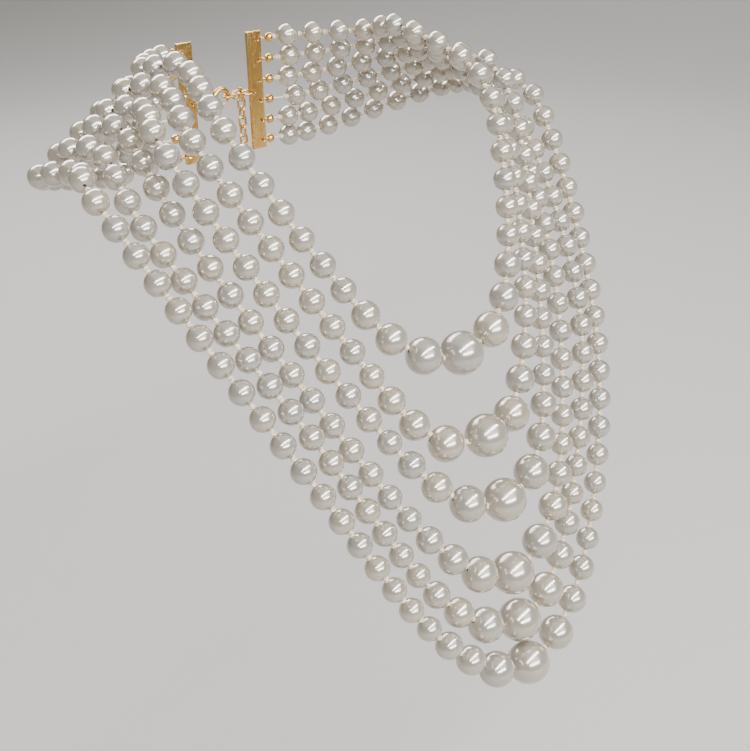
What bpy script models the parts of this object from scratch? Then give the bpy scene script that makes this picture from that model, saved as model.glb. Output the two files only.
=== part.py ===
"""Six-strand graduated pearl necklace in the shape it takes when worn.

The wearer faces -Y, the wearer's left is +X and +Z is up. The origin is the middle of the neck,
level with the shoulders. Lengths below are in millimetres and become metres in vec().
"""

import math

import bmesh
import bpy
import numpy as np
from mathutils import Matrix, Vector

MM = 0.001

# Pearls: each strand grows towards its middle.
SMALL_DIA = 8.0
FOURTH_DIA = 9.0
THIRD_DIA = 10.0
FLANK_DIA = 12.0
CENTRE_DIA = 14.5
GRADUATION = (CENTRE_DIA, FLANK_DIA, THIRD_DIA, FOURTH_DIA)
KNOT_GAP = 1.8  # from one pearl's skin to the next, filled by a silk knot
KNOT_RADIUS = 0.8
SILK_RADIUS = 0.4
BORE_RADIUS = 0.75
CLEARANCE = 0.3
LIFT_GAP = 0.42  # from a shoulder knot's middle to the end of the run on either side of it
RUN_END_RADIUS = 0.64
TAIL_KNOT_RADIUS = 0.6
FRONT_ROWS = (-50, 0, 50)  # latitudes of each small pearl's rings of points, in degrees
BACK_ROWS = (-38, 38)

# Each strand's way over the chest, from its middle towards the wearer's left, in mm.
FRONT_ROUTES = (
    ((0, -76, -75), (23, -71, -66), (42, -52, -34), (52, -29, -4)),
    ((0, -88, -100), (20, -82, -95), (40, -64, -60), (59, -28, -11)),
    ((0, -97, -120), (24, -90, -108), (49.5, -61, -62), (69, -24, -9)),
    ((0, -102, -146), (28, -95, -126), (55, -66, -73), (70, -29, -28)),
    ((0, -106, -163), (29, -99, -144), (59.5, -74, -83), (79, -27, -30)),
    ((0, -111, -178), (34, -104, -154), (66, -76, -89), (90, -21, -21)),
)
# From the shoulder to the nape the strands fan out evenly between the inner and the outer one.
INNER_BACK = ((45, 3, 9), (47, 25, 5), (31, 45, 3))
OUTER_BACK = ((84, 4, -17), (84, 33, -25), (48, 57, -38))
STRANDS = len(FRONT_ROUTES)
# Pearls on each side from the middle one to the knot that the front lifts on. The fourth strand
# lifts from lower down, where it comes clear of the third.
FRONT_PEARLS = (11, 13, 16, 11, 20, 22)

# End bars: one flat drilled bar on each side of the nape.
BAR_Y = 53.0
BAR_MID_Z = -17.0
BAR_PITCH = 7.6
BAR_INNER_X = 11.9
BAR_WIDTH = 6.0
BAR_THICK = 1.6
BAR_HEIGHT = 44.0
STRAND_HOLE_X = 16.2
RING_HOLE_X = 13.35
HOLE_RADIUS = 0.8
TIP_RADIUS = 1.7
TIP_LENGTH = 3.6
TIP_HOOK_RADIUS = 1.35
TIP_WIRE = 0.35

# Rings and links.
RING_RADIUS = 3.0
RING_WIRE = 0.45
LINK_LENGTH = 4.5
LINK_WIDTH = 2.8
LINK_WIRE = 0.4
LINK_NEST = 1.05  # how far one link reaches into the next
LINK_STEP = LINK_LENGTH - LINK_NEST
RING_REACH = 1.1  # how far a link reaches past the ring wire that it hangs on
CHAIN_LINKS = 6
CHAIN_X = 9.9
DROP_DIA = 5.0
DROP_LOOP = 1.3

# Lobster clasp.
HOOK_X = -0.6
HOOK_RADIUS = 3.0
HOOK_WIRE = 0.75
TAIL_X = -7.6
TAIL_RADIUS = 1.6
TAIL_WIRE = 0.5
PIN_RADIUS = 0.35
PIN_AT = (-3.9, -19.6)
TRIGGER_THICK = 1.0
SLOT_WIDTH = 1.6
CHEEK_THICK = 3.0
CHEEK_RADIUS = 1.35
CLAW_BENDS = (185, 160, 135, 110, 85, 60, 35, 10, -15, -38)  # degrees round the hook's middle
CLAW_RADII = (1.0, 1.05, 1.05, 1.0, 0.95, 0.9, 0.85, HOOK_WIRE, 0.65, 0.5)
ROOT_BLOCK = (2.3, CHEEK_THICK, 2.6)
TRIGGER_SLOT = (4.6, SLOT_WIDTH, 3.0)
PIN_PLAY = 0.15
BOSS_RADIUS = 0.95
LEVER_BENDS = (-112, -95, -78, -61)
LEVER_RADIUS = 0.44
THUMB_TAB = (1.1, 0.84, 1.6)


def vec(x, y, z):
    return Vector((x * MM, y * MM, z * MM))


def clear_scene():
    for old in list(bpy.data.objects):
        bpy.data.objects.remove(old, do_unlink=True)


def material(name, color, metallic, roughness):
    mat = bpy.data.materials.new(name)
    mat.use_nodes = True
    shader = mat.node_tree.nodes["Principled BSDF"]
    shader.inputs["Base Color"].default_value = (*color, 1.0)
    shader.inputs["Metallic"].default_value = metallic
    shader.inputs["Roughness"].default_value = roughness
    mat.diffuse_color = (*color, 1.0)
    return mat


def finish(obj, mat, sharp_degrees=50):
    """Puts a finished object in the scene with its material and smooth round faces."""
    bpy.context.scene.collection.objects.link(obj)
    obj.data.materials.append(mat)
    if obj.type == "MESH":
        obj.data.shade_smooth()
        obj.data.set_sharp_from_angle(angle=math.radians(sharp_degrees))
    return obj


# Routes ------------------------------------------------------------------------------------


def smooth_line(points, steps=40):
    """A dense Catmull-Rom line through the points of half a strand, which starts at the middle."""
    pts = [np.array(p, float) for p in points]
    pts = [pts[1] * (-1, 1, 1)] + pts + [2 * pts[-1] - pts[-2]]
    line = []
    for a, b, c, d in zip(pts, pts[1:], pts[2:], pts[3:]):
        for t in np.arange(steps) / steps:
            cubic = 3 * b - a - 3 * c + d
            line.append(0.5 * (2 * b + (c - a) * t + (2 * a - 5 * b + 4 * c - d) * t**2 + cubic * t**3))
    return np.array(line + [pts[-2]])


def strand_hole(strand):
    """The middle of a strand's hole in the left end bar."""
    z = BAR_MID_Z + BAR_PITCH * ((STRANDS - 1) / 2 - strand)
    return np.array((STRAND_HOLE_X, BAR_Y, z))


def strand_line(strand):
    share = strand / (STRANDS - 1)
    inner = np.array(INNER_BACK, float)
    back = inner + (np.array(OUTER_BACK, float) - inner) * share
    return smooth_line([*FRONT_ROUTES[strand], *back, strand_hole(strand)])


def pearl_dia(count):
    return GRADUATION[count] if count < len(GRADUATION) else SMALL_DIA


def place_pearls(strand):
    """Centres of half a strand's pearls, strung a knot apart, as far as the bead tip allows."""
    line = strand_line(strand)
    room = TIP_HOOK_RADIUS + TIP_LENGTH + SMALL_DIA / 2 + KNOT_GAP
    centres, here = [line[0]], 0
    while True:
        count = len(centres)
        step = (pearl_dia(count - 1) + pearl_dia(count)) / 2 + KNOT_GAP
        away = np.linalg.norm(line[here:] - centres[-1], axis=1)
        if away[-1] < step:
            break
        ahead = int(np.argmax(away >= step))
        share = (step - away[ahead - 1]) / (away[ahead] - away[ahead - 1])
        spot = line[here + ahead - 1] + (line[here + ahead] - line[here + ahead - 1]) * share
        if np.linalg.norm(line[-1] - spot) < room:
            break
        centres.append(spot)
        here += ahead
    return centres


def unit(v):
    return v / np.linalg.norm(v)


# Shapes ------------------------------------------------------------------------------------


def tube(name, points, radii, mat, cyclic=False, sides_level=1):
    """A round tube through the points (mm) with its own radius (mm) at each of them."""
    curve = bpy.data.curves.new(name, "CURVE")
    curve.dimensions = "3D"
    curve.bevel_depth = MM
    curve.bevel_resolution = sides_level
    curve.use_fill_caps = not cyclic
    spline = curve.splines.new("POLY")
    spline.points.add(len(points) - 1)
    for point, place, radius in zip(spline.points, points, radii):
        point.co = (*vec(*place), 1.0)
        point.radius = radius
    spline.use_cyclic_u = cyclic
    return finish(bpy.data.objects.new(name, curve), mat)


def ring_points(centre, across, along, length, width, count=12):
    """Points round a link: across and along are unit vectors in its plane."""
    turns = np.arange(count) * 2 * math.pi / count
    centre, across, along = (np.array(v, float) for v in (centre, across, along))
    straight = (length - width) / 2
    points = []
    for turn in turns:
        up = math.copysign(straight, math.cos(turn)) if abs(math.cos(turn)) > 1e-6 else 0.0
        points.append(centre + along * (math.cos(turn) * width / 2 + up) + across * (math.sin(turn) * width / 2))
    return points


def link(name, centre, across, along, length, width, wire, mat, count=12):
    points = ring_points(centre, across, along, length, width, count)
    return tube(name, points, [wire] * len(points), mat, cyclic=True)


def turned(name, profile, place, axis, mat, segments=10):
    """A closed (radius, height) outline turned about its height axis, then aimed along axis."""
    mesh = bpy.data.meshes.new(name)
    bm = bmesh.new()
    verts = [bm.verts.new(vec(radius, 0, height)) for radius, height in profile]
    edges = [bm.edges.new((verts[i], verts[i - 1])) for i in range(len(verts))]
    spin = {"cent": (0, 0, 0), "axis": (0, 0, 1), "dvec": (0, 0, 0), "angle": 2 * math.pi}
    bmesh.ops.spin(bm, geom=verts + edges, steps=segments, use_merge=True, **spin)
    bmesh.ops.remove_doubles(bm, verts=bm.verts, dist=1e-7)
    bmesh.ops.recalc_face_normals(bm, faces=bm.faces)
    turn = Vector((0, 0, 1)).rotation_difference(Vector(axis)).to_matrix().to_4x4()
    bmesh.ops.transform(bm, matrix=turn, verts=bm.verts)
    bm.to_mesh(mesh)
    bm.free()
    obj = finish(bpy.data.objects.new(name, mesh), mat)
    obj.location = vec(*place)
    return obj


def drilled_pearl(name, dia, bore, place, axis, mat, segments=12, rows=7):
    radius = dia / 2
    start = math.asin(bore / radius)
    angles = [start + (math.pi - 2 * start) * i / (rows - 1) for i in range(rows)]
    outline = [(radius * math.sin(a), radius * math.cos(a)) for a in angles]
    return turned(name, outline, place, axis, mat, segments)


def cylinder(name, radius, length, place, axis, mat, segments=12):
    mesh = bpy.data.meshes.new(name)
    bm = bmesh.new()
    size = {"radius1": radius * MM, "radius2": radius * MM, "depth": length * MM}
    bmesh.ops.create_cone(bm, cap_ends=True, segments=segments, **size)
    turn = Vector((0, 0, 1)).rotation_difference(Vector(axis)).to_matrix().to_4x4()
    bmesh.ops.transform(bm, matrix=turn, verts=bm.verts)
    bm.to_mesh(mesh)
    bm.free()
    obj = finish(bpy.data.objects.new(name, mesh), mat)
    obj.location = vec(*place)
    return obj


def box(name, size, place, mat):
    mesh = bpy.data.meshes.new(name)
    bm = bmesh.new()
    bmesh.ops.create_cube(bm, size=1.0)
    bmesh.ops.transform(bm, matrix=Matrix.Diagonal((*(s * MM for s in size), 1.0)), verts=bm.verts)
    bm.to_mesh(mesh)
    bm.free()
    obj = finish(bpy.data.objects.new(name, mesh), mat)
    obj.location = vec(*place)
    return obj


def combine(obj, other, operation):
    """Joins or cuts obj with a helper, which is left out of the model."""
    other.hide_render = True
    other.display_type = "WIRE"
    modifier = obj.modifiers.new(operation.lower() + "_" + other.name, "BOOLEAN")
    modifier.operation = operation
    modifier.solver = "EXACT"
    modifier.object = other


def as_mesh(obj):
    """Turns a tube into a mesh object of the same name, for Boolean work."""
    graph = bpy.context.evaluated_depsgraph_get()
    mesh = bpy.data.meshes.new_from_object(obj.evaluated_get(graph))
    name, mat = obj.name, obj.data.materials[0]
    bpy.data.objects.remove(obj, do_unlink=True)
    mesh.name = name
    mesh.materials.clear()
    bm = bmesh.new()
    bm.from_mesh(mesh)
    bmesh.ops.remove_doubles(bm, verts=bm.verts, dist=1e-7)
    bmesh.ops.recalc_face_normals(bm, faces=bm.faces)
    bm.to_mesh(mesh)
    bm.free()
    return finish(bpy.data.objects.new(name, mesh), mat)


# Strands -----------------------------------------------------------------------------------


def strung(centres, dias, before, after, rows):
    """Tube points and radii for pearls on knotted silk; before and after are the knots at the ends."""
    knots = [before]
    for near, far, dia_near, dia_far in zip(centres, centres[1:], dias, dias[1:]):
        share = (dia_near / 2 + KNOT_GAP / 2) / (dia_near / 2 + dia_far / 2 + KNOT_GAP)
        knots.append(near + (far - near) * share)
    knots.append(after)
    points, radii = [], []
    for i, (centre, dia) in enumerate(zip(centres, dias)):
        along = unit(knots[i + 1] - knots[i])
        for latitude in rows:
            points.append(centre + along * math.sin(latitude) * dia / 2)
            radii.append(math.cos(latitude) * dia / 2)
        if i < len(centres) - 1:
            points.append(knots[i + 1])
            radii.append(KNOT_RADIUS)
    return points, radii


def shoulder_knot(centres, strand):
    """The knot where the front of a strand bends over the shoulder, on its hinge axis."""
    last = FRONT_PEARLS[strand]
    return (centres[last] + centres[last + 1]) / 2


def mirrored(points):
    return [np.array(p) * (-1, 1, 1) for p in points]


def strand_front(strand, centres, pearl):
    """Both halves of a strand's front, joined by the silk through the middle pearl's bore."""
    rows = [math.radians(a) for a in FRONT_ROWS]
    last = FRONT_PEARLS[strand]
    half = centres[1 : last + 1]
    dias = [pearl_dia(i) for i in range(1, last + 1)]
    pole = np.array(centres[0]) + (CENTRE_DIA / 2 + CLEARANCE, 0, 0)
    hinge = shoulder_knot(centres, strand)
    points, radii = strung(half, dias, pole, hinge, rows)
    end = hinge + unit(half[-1] - hinge) * LIFT_GAP
    points = [pole, *points, end]
    radii = [SILK_RADIUS, *radii, RUN_END_RADIUS]
    points = mirrored(points)[::-1] + points
    radii = radii[::-1] + radii
    return tube(f"strand_{strand + 1}_front", points, radii, pearl)


def strand_back(strand, centres, side, pearl):
    rows = [math.radians(a) for a in BACK_ROWS]
    last = FRONT_PEARLS[strand]
    half = centres[last + 1 :]
    hinge = shoulder_knot(centres, strand)
    tip = tip_base(strand, centres)
    points, radii = strung(half, [SMALL_DIA] * len(half), hinge, tip, rows)
    start = hinge + unit(half[0] - hinge) * LIFT_GAP
    stop = tip + unit(half[-1] - tip) * (CLEARANCE + TIP_RADIUS * 0.5)
    points = [start, *points, stop]
    radii = [RUN_END_RADIUS, *radii, TAIL_KNOT_RADIUS]
    if side < 0:
        points = mirrored(points)
    label = "left" if side > 0 else "right"
    return tube(f"strand_{strand + 1}_back_{label}", points, radii, pearl)


# Bead tips and end bars --------------------------------------------------------------------


def tip_base(strand, centres):
    """Middle of the bead tip's cup, on the line from the last pearl to the hole in the bar."""
    hole = strand_hole(strand)
    return hole + unit(centres[-1] - hole) * (TIP_HOOK_RADIUS + TIP_LENGTH / 2 + TIP_RADIUS)


def bead_tip(strand, centres, side, metal):
    """A cup that hides the last knot, on a hook that hangs in the bar's hole."""
    hole, cup = strand_hole(strand), tip_base(strand, centres)
    away = unit(cup - hole)
    neck = cup - away * TIP_RADIUS
    loop = hole + (TIP_HOOK_RADIUS - 0.1) * np.array((1, 0, 0))
    points = [cup + away * TIP_RADIUS * 0.4, cup, cup - away * TIP_RADIUS * 0.7, neck]
    radii = [TIP_RADIUS * 0.9, TIP_RADIUS, TIP_RADIUS * 0.75, TIP_WIRE]
    steps = 9
    for i in range(steps):
        turn = math.radians(-50 + 250 * i / (steps - 1))
        swing = np.array((math.cos(turn), math.sin(turn), 0)) * TIP_HOOK_RADIUS
        points.append(loop + swing)
        radii.append(TIP_WIRE)
    if side < 0:
        points = mirrored(points)
    label = "left" if side > 0 else "right"
    return tube(f"bead_tip_{label}_{strand + 1}", points, radii, metal)


def end_bar(side, metal):
    label = "left" if side > 0 else "right"
    middle = (side * (BAR_INNER_X + BAR_WIDTH / 2), BAR_Y, BAR_MID_Z)
    bar = box(f"end_bar_{label}", (BAR_WIDTH, BAR_THICK, BAR_HEIGHT), middle, metal)
    holes = [(STRAND_HOLE_X, strand_hole(i)[2]) for i in range(STRANDS)]
    holes.append((RING_HOLE_X, BAR_MID_Z))
    for i, (x, z) in enumerate(holes):
        drill = (side * x, BAR_Y, z)
        name = f"drill_{label}_{i}"
        cutter = cylinder(name, HOLE_RADIUS, BAR_THICK * 3, drill, (0, 1, 0), metal, segments=8)
        combine(bar, cutter, "DIFFERENCE")
    return bar


# Clasp -------------------------------------------------------------------------------------


def hook_point(degrees):
    turn = math.radians(degrees)
    across, up = HOOK_RADIUS * math.cos(turn), HOOK_RADIUS * math.sin(turn)
    return np.array((HOOK_X + across, BAR_Y, BAR_MID_Z + up))


def clasp_body(metal):
    """Claw, tail loop and the two cheeks that hold the trigger's pin."""
    start = np.array((TAIL_X + TAIL_RADIUS, BAR_Y, BAR_MID_Z))
    points = [start, *(hook_point(bend) for bend in CLAW_BENDS)]
    radii = [TAIL_WIRE * 1.2, *CLAW_RADII]
    body = as_mesh(tube("clasp_body", points, radii, metal, sides_level=2))
    tail = link("tail_loop", (TAIL_X, BAR_Y, BAR_MID_Z), (0, 0, 1), (1, 0, 0), 2 * TAIL_RADIUS,
                2 * TAIL_RADIUS, TAIL_WIRE, metal)
    combine(body, as_mesh(tail), "UNION")
    pin_x, pin_z = PIN_AT
    cheek = cylinder("cheeks", CHEEK_RADIUS, CHEEK_THICK, (pin_x, BAR_Y, pin_z), (0, 1, 0), metal)
    combine(body, cheek, "UNION")
    root = box("root_block", ROOT_BLOCK, (pin_x, BAR_Y, pin_z + ROOT_BLOCK[2] / 2), metal)
    combine(body, root, "UNION")
    slot = box("slot", TRIGGER_SLOT, (pin_x + 0.9, BAR_Y, pin_z - 0.45), metal)
    combine(body, slot, "DIFFERENCE")
    wide = PIN_RADIUS + PIN_PLAY
    bore = cylinder("pin_bore", wide, CHEEK_THICK * 2, (pin_x, BAR_Y, pin_z), (0, 1, 0), metal)
    combine(body, bore, "DIFFERENCE")
    return body


def clasp_trigger(metal):
    """The lever that shuts the claw, drilled for its pin, with a thumb tab outside."""
    pin_x, pin_z = PIN_AT
    middle = (pin_x, BAR_Y, pin_z)
    boss = cylinder("clasp_trigger", BOSS_RADIUS, TRIGGER_THICK, middle, (0, 1, 0), metal)
    arm = [(pin_x + 0.3, BAR_Y, pin_z), *(hook_point(bend) for bend in LEVER_BENDS)]
    lever = as_mesh(tube("lever", arm, [*[LEVER_RADIUS] * len(LEVER_BENDS), 0.4], metal))
    combine(boss, lever, "UNION")
    tab = box("thumb_tab", THUMB_TAB, (pin_x + 0.1, BAR_Y, pin_z - 1.3), metal)
    combine(boss, tab, "UNION")
    wide = PIN_RADIUS + PIN_PLAY
    bore = cylinder("trigger_bore", wide, TRIGGER_THICK * 3, middle, (0, 1, 0), metal)
    combine(boss, bore, "DIFFERENCE")
    return boss


def clasp_pin(metal):
    pin_x, pin_z = PIN_AT
    return cylinder("clasp_pin", PIN_RADIUS, CHEEK_THICK - 0.2, (pin_x, BAR_Y, pin_z), (0, 1, 0), metal)


# Assembly ----------------------------------------------------------------------------------


def build():
    clear_scene()
    pearl = material("pearl", (0.80, 0.77, 0.69), 0.0, 0.18)
    brass = material("gold_plated_brass", (0.80, 0.58, 0.27), 1.0, 0.22)
    steel = material("spring_steel", (0.55, 0.56, 0.58), 1.0, 0.3)

    for strand in range(STRANDS):
        centres = place_pearls(strand)
        number = strand + 1
        strand_front(strand, centres, pearl)
        name = f"strand_{number}_centre_pearl"
        drilled_pearl(name, CENTRE_DIA, BORE_RADIUS, centres[0], (1, 0, 0), pearl)
        for side in (1, -1):
            strand_back(strand, centres, side, pearl)
            bead_tip(strand, centres, side, brass)
        hinge = shoulder_knot(centres, strand)
        gap = np.linalg.norm(strand_hole(strand) - centres[-1])
        print(f"strand {number}: {len(centres) * 2 - 1} pearls, hinge {np.round(hinge, 2)}, tail {gap:.1f}")

    for side in (1, -1):
        end_bar(side, brass)
        name = "extender_ring" if side > 0 else "clasp_ring"
        centre = (side * (RING_HOLE_X - RING_RADIUS), BAR_Y, BAR_MID_Z)
        link(name, centre, (0, 1, 0), (1, 0, 0), 2 * RING_RADIUS, 2 * RING_RADIUS, RING_WIRE, brass)

    clasp_body(brass)
    clasp_trigger(brass)
    clasp_pin(steel)
    catch_links(brass)
    extender_chain(brass, pearl)


def catch_links(metal):
    """Two links between the extender ring and the claw, which the clasp closes on."""
    ring_wire_x = RING_HOLE_X - 2 * RING_RADIUS
    first_x = ring_wire_x + RING_REACH - LINK_LENGTH / 2
    second_x = first_x - LINK_STEP
    sizes = (LINK_LENGTH, LINK_WIDTH, LINK_WIRE)
    link("catch_link_1", (first_x, BAR_Y, BAR_MID_Z), (0, 0, 1), (1, 0, 0), *sizes, metal)
    link("catch_link_2", (second_x, BAR_Y, BAR_MID_Z), (0, 1, 0), (1, 0, 0), *sizes, metal)


def extender_chain(metal, pearl):
    """Links hanging from the back of the extender ring, alternately turned, with a drop pearl."""
    ring_x = RING_HOLE_X - RING_RADIUS
    hang_y = BAR_Y + math.sqrt(RING_RADIUS**2 - (CHAIN_X - ring_x) ** 2)
    top = BAR_MID_Z + RING_REACH
    for i in range(CHAIN_LINKS):
        across = (0, 1, 0) if i % 2 == 0 else (1, 0, 0)
        centre = (CHAIN_X, hang_y, top - LINK_LENGTH / 2)
        link(f"extender_link_{i + 1}", centre, across, (0, 0, 1), LINK_LENGTH, LINK_WIDTH, LINK_WIRE, metal)
        print(f"extender link {i + 1}: hangs from z {top - LINK_NEST:.2f}, y {hang_y:.3f}")
        top -= LINK_STEP
    eye = (CHAIN_X, hang_y, top - DROP_LOOP)
    pearl_z = eye[2] - DROP_LOOP - 0.7 - DROP_DIA / 2
    loop = ring_points(eye, (0, 1, 0), (0, 0, -1), 2 * DROP_LOOP, 2 * DROP_LOOP)[1:]
    below = pearl_z - DROP_DIA / 2
    levels = (eye[2] - DROP_LOOP, pearl_z + DROP_DIA / 2, below - 0.3, below - 0.4, below - 0.8)
    points = loop[::-1] + [(CHAIN_X, hang_y, level) for level in levels]
    radii = [0.32] * (len(points) - 2) + [0.8, 0.8]
    tube("drop_pin", points, radii, metal)
    drilled_pearl("drop_pearl", DROP_DIA, 0.6, (CHAIN_X, hang_y, pearl_z), (0, 0, 1), pearl, 10, 5)
    print(f"drop pearl: hangs from z {top - LINK_NEST:.2f}, centre z {pearl_z:.2f}")


build()
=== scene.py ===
import math
import random

import bmesh
import bpy
import numpy as np
from mathutils import Matrix, Vector


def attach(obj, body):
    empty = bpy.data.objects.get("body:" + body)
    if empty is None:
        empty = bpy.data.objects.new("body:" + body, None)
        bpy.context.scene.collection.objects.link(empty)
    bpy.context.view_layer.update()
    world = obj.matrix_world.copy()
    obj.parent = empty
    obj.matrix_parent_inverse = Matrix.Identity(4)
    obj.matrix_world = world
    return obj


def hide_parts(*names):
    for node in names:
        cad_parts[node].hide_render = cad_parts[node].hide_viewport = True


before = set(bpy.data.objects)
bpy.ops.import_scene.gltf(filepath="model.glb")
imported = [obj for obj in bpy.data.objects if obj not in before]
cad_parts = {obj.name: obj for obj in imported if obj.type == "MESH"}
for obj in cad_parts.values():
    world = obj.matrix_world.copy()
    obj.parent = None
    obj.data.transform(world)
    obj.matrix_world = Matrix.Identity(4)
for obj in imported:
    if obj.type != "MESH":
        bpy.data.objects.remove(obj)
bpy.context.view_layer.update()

mm = 0.001
wholeTurn = 6.28
dice = random.Random(8)  # every small irregularity comes from here, so each run is the same

# Camera. It stands on the wearer's right and looks down over the shoulder.
camera = {
    "place": (-0.2355, -0.3182, 0.0904),
    "right": (0.7664, -0.6421, -0.0153),
    "ahead": (0.5659, 0.6863, -0.4568),
    "lens": 56.7,
}
cameraData = bpy.data.cameras.new("camera")
cameraData.lens = camera["lens"]
cameraData.sensor_width = 36.0
cameraData.clip_start = 0.01
cameraObject = bpy.data.objects.new("camera", cameraData)
bpy.context.scene.collection.objects.link(cameraObject)
backward = -Vector(camera["ahead"]).normalized()
upward = backward.cross(Vector(camera["right"])).normalized()
sideways = upward.cross(backward)
cameraObject.matrix_world = Matrix.Translation(camera["place"]) @ Matrix(
    (sideways, upward, backward)).transposed().to_4x4()
bpy.context.scene.camera = cameraObject
print("camera: placed")


# sRGB hex to linear RGBA.
def hexColour(text):
    parts = [int(text[i:i + 2], 16) / 255 for i in (0, 2, 4)]
    return (*((c / 12.92 if c <= 0.04045 else ((c + 0.055) / 1.055) ** 2.4) for c in parts), 1.0)


def addNode(mat, kind, settings=None, links=None):
    node = mat.node_tree.nodes.new(kind)
    for key, value in (settings or {}).items():
        if isinstance(key, int) or key in node.inputs:
            node.inputs[key].default_value = value
        else:
            setattr(node, key, value)
    for key, source in (links or {}).items():
        mat.node_tree.links.new(source, node.inputs[key])
    return node


def newMaterial(name, settings):
    mat = bpy.data.materials.new(name)
    mat.use_nodes = True
    shader = mat.node_tree.nodes["Principled BSDF"]
    for key, value in settings.items():
        shader.inputs[key].default_value = value
    return mat, shader


# Pearl essence over a glass bead: ivory body, a soft deep gloss and a thin clear lacquer that keeps
# the lights sharp. The film gives the faint rose and green cast.
nacre = {
    "cool": "A7A499", "warm": "B6AD98", "rose": "AEA398",
    "roughness": 0.2, "glossier": 0.04, "duller": 0.05,
    "metallic": 0.6, "specular": 0.55,
    "lacquer": 0.9, "lacquerRoughness": 0.07, "lacquerIor": 1.5,
    "film": 330.0, "filmIor": 1.38,  # the film's thickness in nm
    "mottleSize": 2.6,  # mm, cloudy patches in the essence
    "mottleShare": 0.5,  # how far a patch turns to rose
    "orangePeel": 0.55,  # mm, faint ripple of the dipped coats
    "peelStrength": 0.025,
}


def nacreMaterial():
    mat, shader = newMaterial("pearlEssenceDipped", {
        "Metallic": nacre["metallic"], "Specular IOR Level": nacre["specular"],
        "Coat Weight": nacre["lacquer"], "Coat Roughness": nacre["lacquerRoughness"],
        "Coat IOR": nacre["lacquerIor"],
        "Thin Film Thickness": nacre["film"], "Thin Film IOR": nacre["filmIor"]})
    place = addNode(mat, "ShaderNodeTexCoord")
    tone = addNode(mat, "ShaderNodeAttribute", {"attribute_name": "pearlTone"})
    mottle = addNode(mat, "ShaderNodeTexNoise",
                     {"Scale": 1 / (nacre["mottleSize"] * mm), "Detail": 2.0, "Roughness": 0.5},
                     {"Vector": place.outputs["Object"]})
    cloudy = addNode(mat, "ShaderNodeMapRange",
                     {"From Min": 0.35, "From Max": 0.65, "To Max": nacre["mottleShare"]},
                     {"Value": mottle.outputs["Fac"]})
    body = addNode(mat, "ShaderNodeMix",
                   {"data_type": "RGBA", 6: hexColour(nacre["cool"]), 7: hexColour(nacre["warm"])},
                   {0: tone.outputs["Fac"]})
    skin = addNode(mat, "ShaderNodeMix", {"data_type": "RGBA", 7: hexColour(nacre["rose"])},
                   {0: cloudy.outputs["Result"], 6: body.outputs[2]})
    gloss = addNode(mat, "ShaderNodeMapRange",
                    {"From Min": 0.3, "From Max": 0.7,
                     "To Min": nacre["roughness"] - nacre["glossier"],
                     "To Max": nacre["roughness"] + nacre["duller"]},
                    {"Value": mottle.outputs["Fac"]})
    peel = addNode(mat, "ShaderNodeTexNoise",
                   {"Scale": 1 / (nacre["orangePeel"] * mm), "Detail": 1.0},
                   {"Vector": place.outputs["Object"]})
    bump = addNode(mat, "ShaderNodeBump", {"Strength": nacre["peelStrength"], "Distance": 0.2 * mm},
                   {"Height": peel.outputs["Fac"]})
    links = mat.node_tree.links
    links.new(skin.outputs[2], shader.inputs["Base Color"])
    links.new(gloss.outputs["Result"], shader.inputs["Roughness"])
    links.new(bump.outputs["Normal"], shader.inputs["Normal"])
    return mat


# Degummed silk, three plies twisted and knotted by hand: matt, cream, with a soft sheen, and
# painted shade in the grooves between the plies.
silk = {
    "light": "EFE3CC", "groovePaintedShade": "C9B592", "roughness": 0.62, "specular": 0.35,
    "sheen": 0.35, "sheenRoughness": 0.4,
    "plyWidth": 0.22, "plyDepth": 0.1, "plyStrength": 0.5,  # width and depth in mm
    "radius": 0.32,
    "knotRadius": 0.78, "knotWire": 0.55, "knotLift": 0.42, "knotLean": 20,
    "lastKnot": 0.9,  # mm from the last pearl's skin
    "backStart": 0.6,  # mm from the middle of the knot that the front lifts on
}


def silkMaterial():
    mat, shader = newMaterial("twistedSilk", {
        "Roughness": silk["roughness"], "Specular IOR Level": silk["specular"],
        "Sheen Weight": silk["sheen"], "Sheen Roughness": silk["sheenRoughness"]})
    place = addNode(mat, "ShaderNodeTexCoord")
    # the node draws about three bands in a unit
    plies = addNode(mat, "ShaderNodeTexWave",
                    {"Scale": 1 / (silk["plyWidth"] * mm) / 3,
                     "Distortion": 2.0, "Detail": 2.0, "bands_direction": "DIAGONAL"},
                    {"Vector": place.outputs["Object"]})
    # the colour turns darker where the ply bump sinks into its grooves: painted shade
    colour = addNode(mat, "ShaderNodeMix",
                     {"data_type": "RGBA", 6: hexColour(silk["groovePaintedShade"]), 7: hexColour(silk["light"])},
                     {0: plies.outputs["Fac"]})
    bump = addNode(mat, "ShaderNodeBump",
                   {"Strength": silk["plyStrength"], "Distance": silk["plyDepth"] * mm},
                   {"Height": plies.outputs["Fac"]})
    mat.node_tree.links.new(colour.outputs[2], shader.inputs["Base Color"])
    mat.node_tree.links.new(bump.outputs["Normal"], shader.inputs["Normal"])
    return mat


# Brass castings and wire, tumble polished and flash plated with gold: bright yellow metal with the
# fine haze that handling leaves.
goldPlate = {
    "bright": "E3BE72", "worn": "C89A50", "roughness": 0.17, "glossier": 0.05, "duller": 0.16,
    "scratch": 0.5, "scratchDepth": 0.1, "scratchStrength": 0.06,  # size and depth in mm
    "stretch": (1.0, 1.0, 0.15),  # the polishing ran up and down
}


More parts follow.
